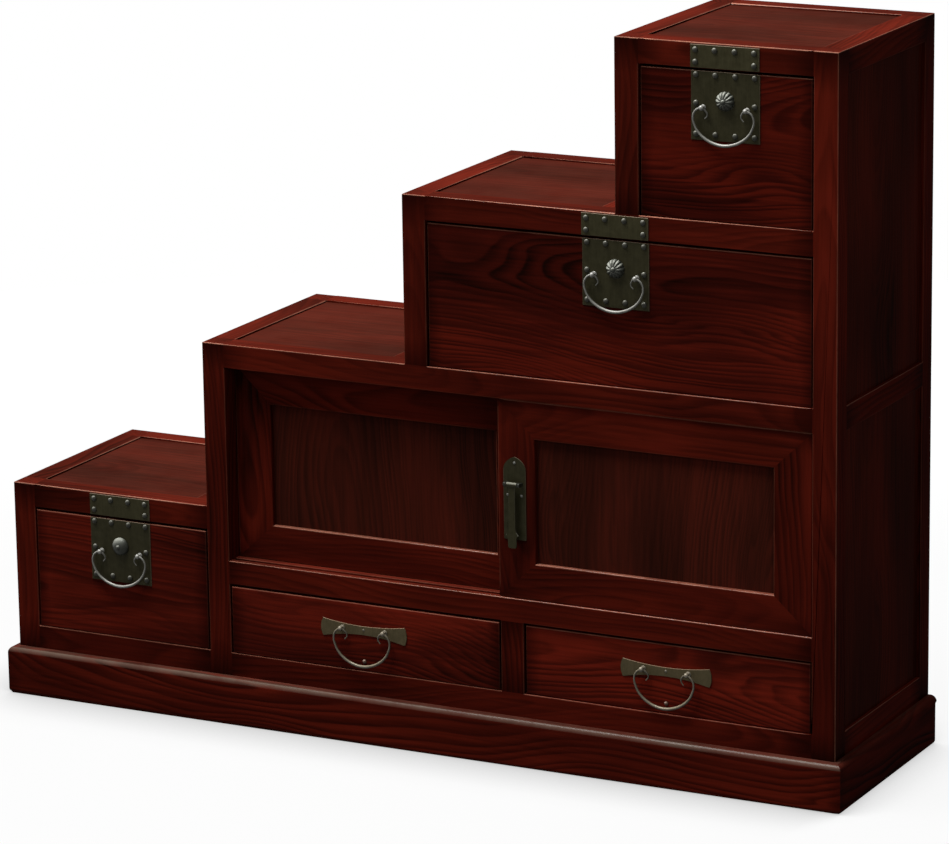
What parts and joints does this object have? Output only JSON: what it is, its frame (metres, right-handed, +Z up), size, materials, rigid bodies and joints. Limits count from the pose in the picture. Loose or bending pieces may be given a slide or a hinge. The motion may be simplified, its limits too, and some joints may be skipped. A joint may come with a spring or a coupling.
{
  "type": "step chest tansu",
  "caption": "Staircase-shaped wooden chest: framed and panelled steps over drawers and a sliding-door cabinet, with iron lock plates and drop handles, on a plinth.",
  "frame": {"origin": "centre of the plinth's underside, on the floor", "axes": "+X to the right along the rising steps, +Y from the front to the back, +Z up"},
  "size_m": [1.122, 0.294, 0.882],
  "materials": {
    "case_wood": "dark red-brown lacquer, satin",
    "panel_wood": "dark red-brown lacquer, satin",
    "drawer_front_wood": "dark red-brown lacquer with bold grain, satin",
    "inner_wood": "bare pale softwood",
    "iron_plate": "dark patinated iron",
    "iron_fittings": "worn dark iron with bright wear"
  },
  "bodies": {
    "root": {"plinth_front": "case_wood", "plinth_sides": "case_wood", "plinth_back": "case_wood", "head_track": "case_wood", "low_front_post": "case_wood", "cabinet_front_post": "case_wood", "upper_front_post": "case_wood", "top_front_post": "case_wood", "right_front_post": "case_wood", "rear_posts": "case_wood", "small_drawer_divider": "case_wood", "base_rails": "case_wood", "low_step_rail": "case_wood", "door_sill": "case_wood", "door_head": "case_wood", "third_step_rail": "case_wood", "top_step_rail": "case_wood", "rear_rails": "case_wood", "side_rails": "case_wood", "step_tops": "panel_wood", "side_panels": "panel_wood", "riser_panels": "panel_wood", "back_panels": "inner_wood", "dust_boards": "inner_wood", "drawer_guides": "inner_wood", "rail_plates": "iron_plate", "rail_nails": "iron_fittings"},
    "low_drawer": {"low_drawer_front": "drawer_front_wood", "low_drawer_box": "inner_wood", "low_lock_plate": "iron_plate", "low_nails_and_posts": "iron_fittings"},
    "low_handle": {"low_bail": "iron_fittings"},
    "small_left_drawer": {"small_left_drawer_front": "drawer_front_wood", "small_left_drawer_box": "inner_wood", "small_left_handle_plate": "iron_plate", "small_left_nails_and_posts": "iron_fittings"},
    "small_left_handle": {"small_left_bail": "iron_fittings"},
    "small_right_drawer": {"small_right_drawer_front": "drawer_front_wood", "small_right_drawer_box": "inner_wood", "small_right_handle_plate": "iron_plate", "small_right_nails_and_posts": "iron_fittings"},
    "small_right_handle": {"small_right_bail": "iron_fittings"},
    "upper_drawer": {"upper_drawer_front": "drawer_front_wood", "upper_drawer_box": "inner_wood", "upper_lock_plate": "iron_plate", "upper_nails_and_posts": "iron_fittings"},
    "upper_handle": {"upper_bail": "iron_fittings"},
    "top_drawer": {"top_drawer_front": "drawer_front_wood", "top_drawer_box": "inner_wood", "top_lock_plate": "iron_plate", "top_nails_and_posts": "iron_fittings"},
    "top_handle": {"top_bail": "iron_fittings"},
    "front_door": {"front_door_frame": "case_wood", "front_door_panel": "panel_wood", "pull_plate": "iron_plate", "pull_nails": "iron_fittings", "pull_staple": "iron_fittings"},
    "rear_door": {"rear_door_frame": "case_wood", "rear_door_panel": "panel_wood"},
    "door_pull": {"pull_strap": "iron_fittings"}
  },
  "joints": [
    {"name": "low_drawer_slide", "type": "slide", "parent": "root", "child": "low_drawer", "axis": [0, -1, 0], "range_m": [0, 0.2]},
    {"name": "low_handle_swing", "type": "hinge", "parent": "low_drawer", "child": "low_handle", "pos_m": [-0.3975, -0.1426, 0.1965], "axis": [-1, 0, 0], "range_deg": [0, 165]},
    {"name": "small_left_drawer_slide", "type": "slide", "parent": "root", "child": "small_left_drawer", "axis": [0, -1, 0], "range_m": [0, 0.2]},
    {"name": "small_left_handle_swing", "type": "hinge", "parent": "small_left_drawer", "child": "small_left_handle", "pos_m": [-0.06125, -0.1426, 0.1405], "axis": [-1, 0, 0], "range_deg": [0, 165]},
    {"name": "small_right_drawer_slide", "type": "slide", "parent": "root", "child": "small_right_drawer", "axis": [0, -1, 0], "range_m": [0, 0.2]},
    {"name": "small_right_handle_swing", "type": "hinge", "parent": "small_right_drawer", "child": "small_right_handle", "pos_m": [0.33625, -0.1408, 0.1405], "axis": [-1, 0, 0], "range_deg": [0, 165]},
    {"name": "upper_drawer_slide", "type": "slide", "parent": "root", "child": "upper_drawer", "axis": [0, -1, 0], "range_m": [0, 0.2]},
    {"name": "upper_handle_swing", "type": "hinge", "parent": "upper_drawer", "child": "upper_handle", "pos_m": [0.275, -0.1408, 0.6045], "axis": [-1, 0, 0], "range_deg": [0, 165]},
    {"name": "top_drawer_slide", "type": "slide", "parent": "root", "child": "top_drawer", "axis": [0, -1, 0], "range_m": [0, 0.2]},
    {"name": "top_handle_swing", "type": "hinge", "parent": "top_drawer", "child": "top_handle", "pos_m": [0.4125, -0.1408, 0.8085], "axis": [-1, 0, 0], "range_deg": [0, 165]},
    {"name": "front_door_slide", "type": "slide", "parent": "root", "child": "front_door", "axis": [-1, 0, 0], "range_m": [0, 0.364]},
    {"name": "rear_door_slide", "type": "slide", "parent": "root", "child": "rear_door", "axis": [1, 0, 0], "range_m": [0, 0.364]},
    {"name": "door_pull_swing", "type": "hinge", "parent": "front_door", "child": "door_pull", "pos_m": [0.142, -0.1412, 0.3445], "axis": [-1, 0, 0], "range_deg": [0, 165]}
  ]
}
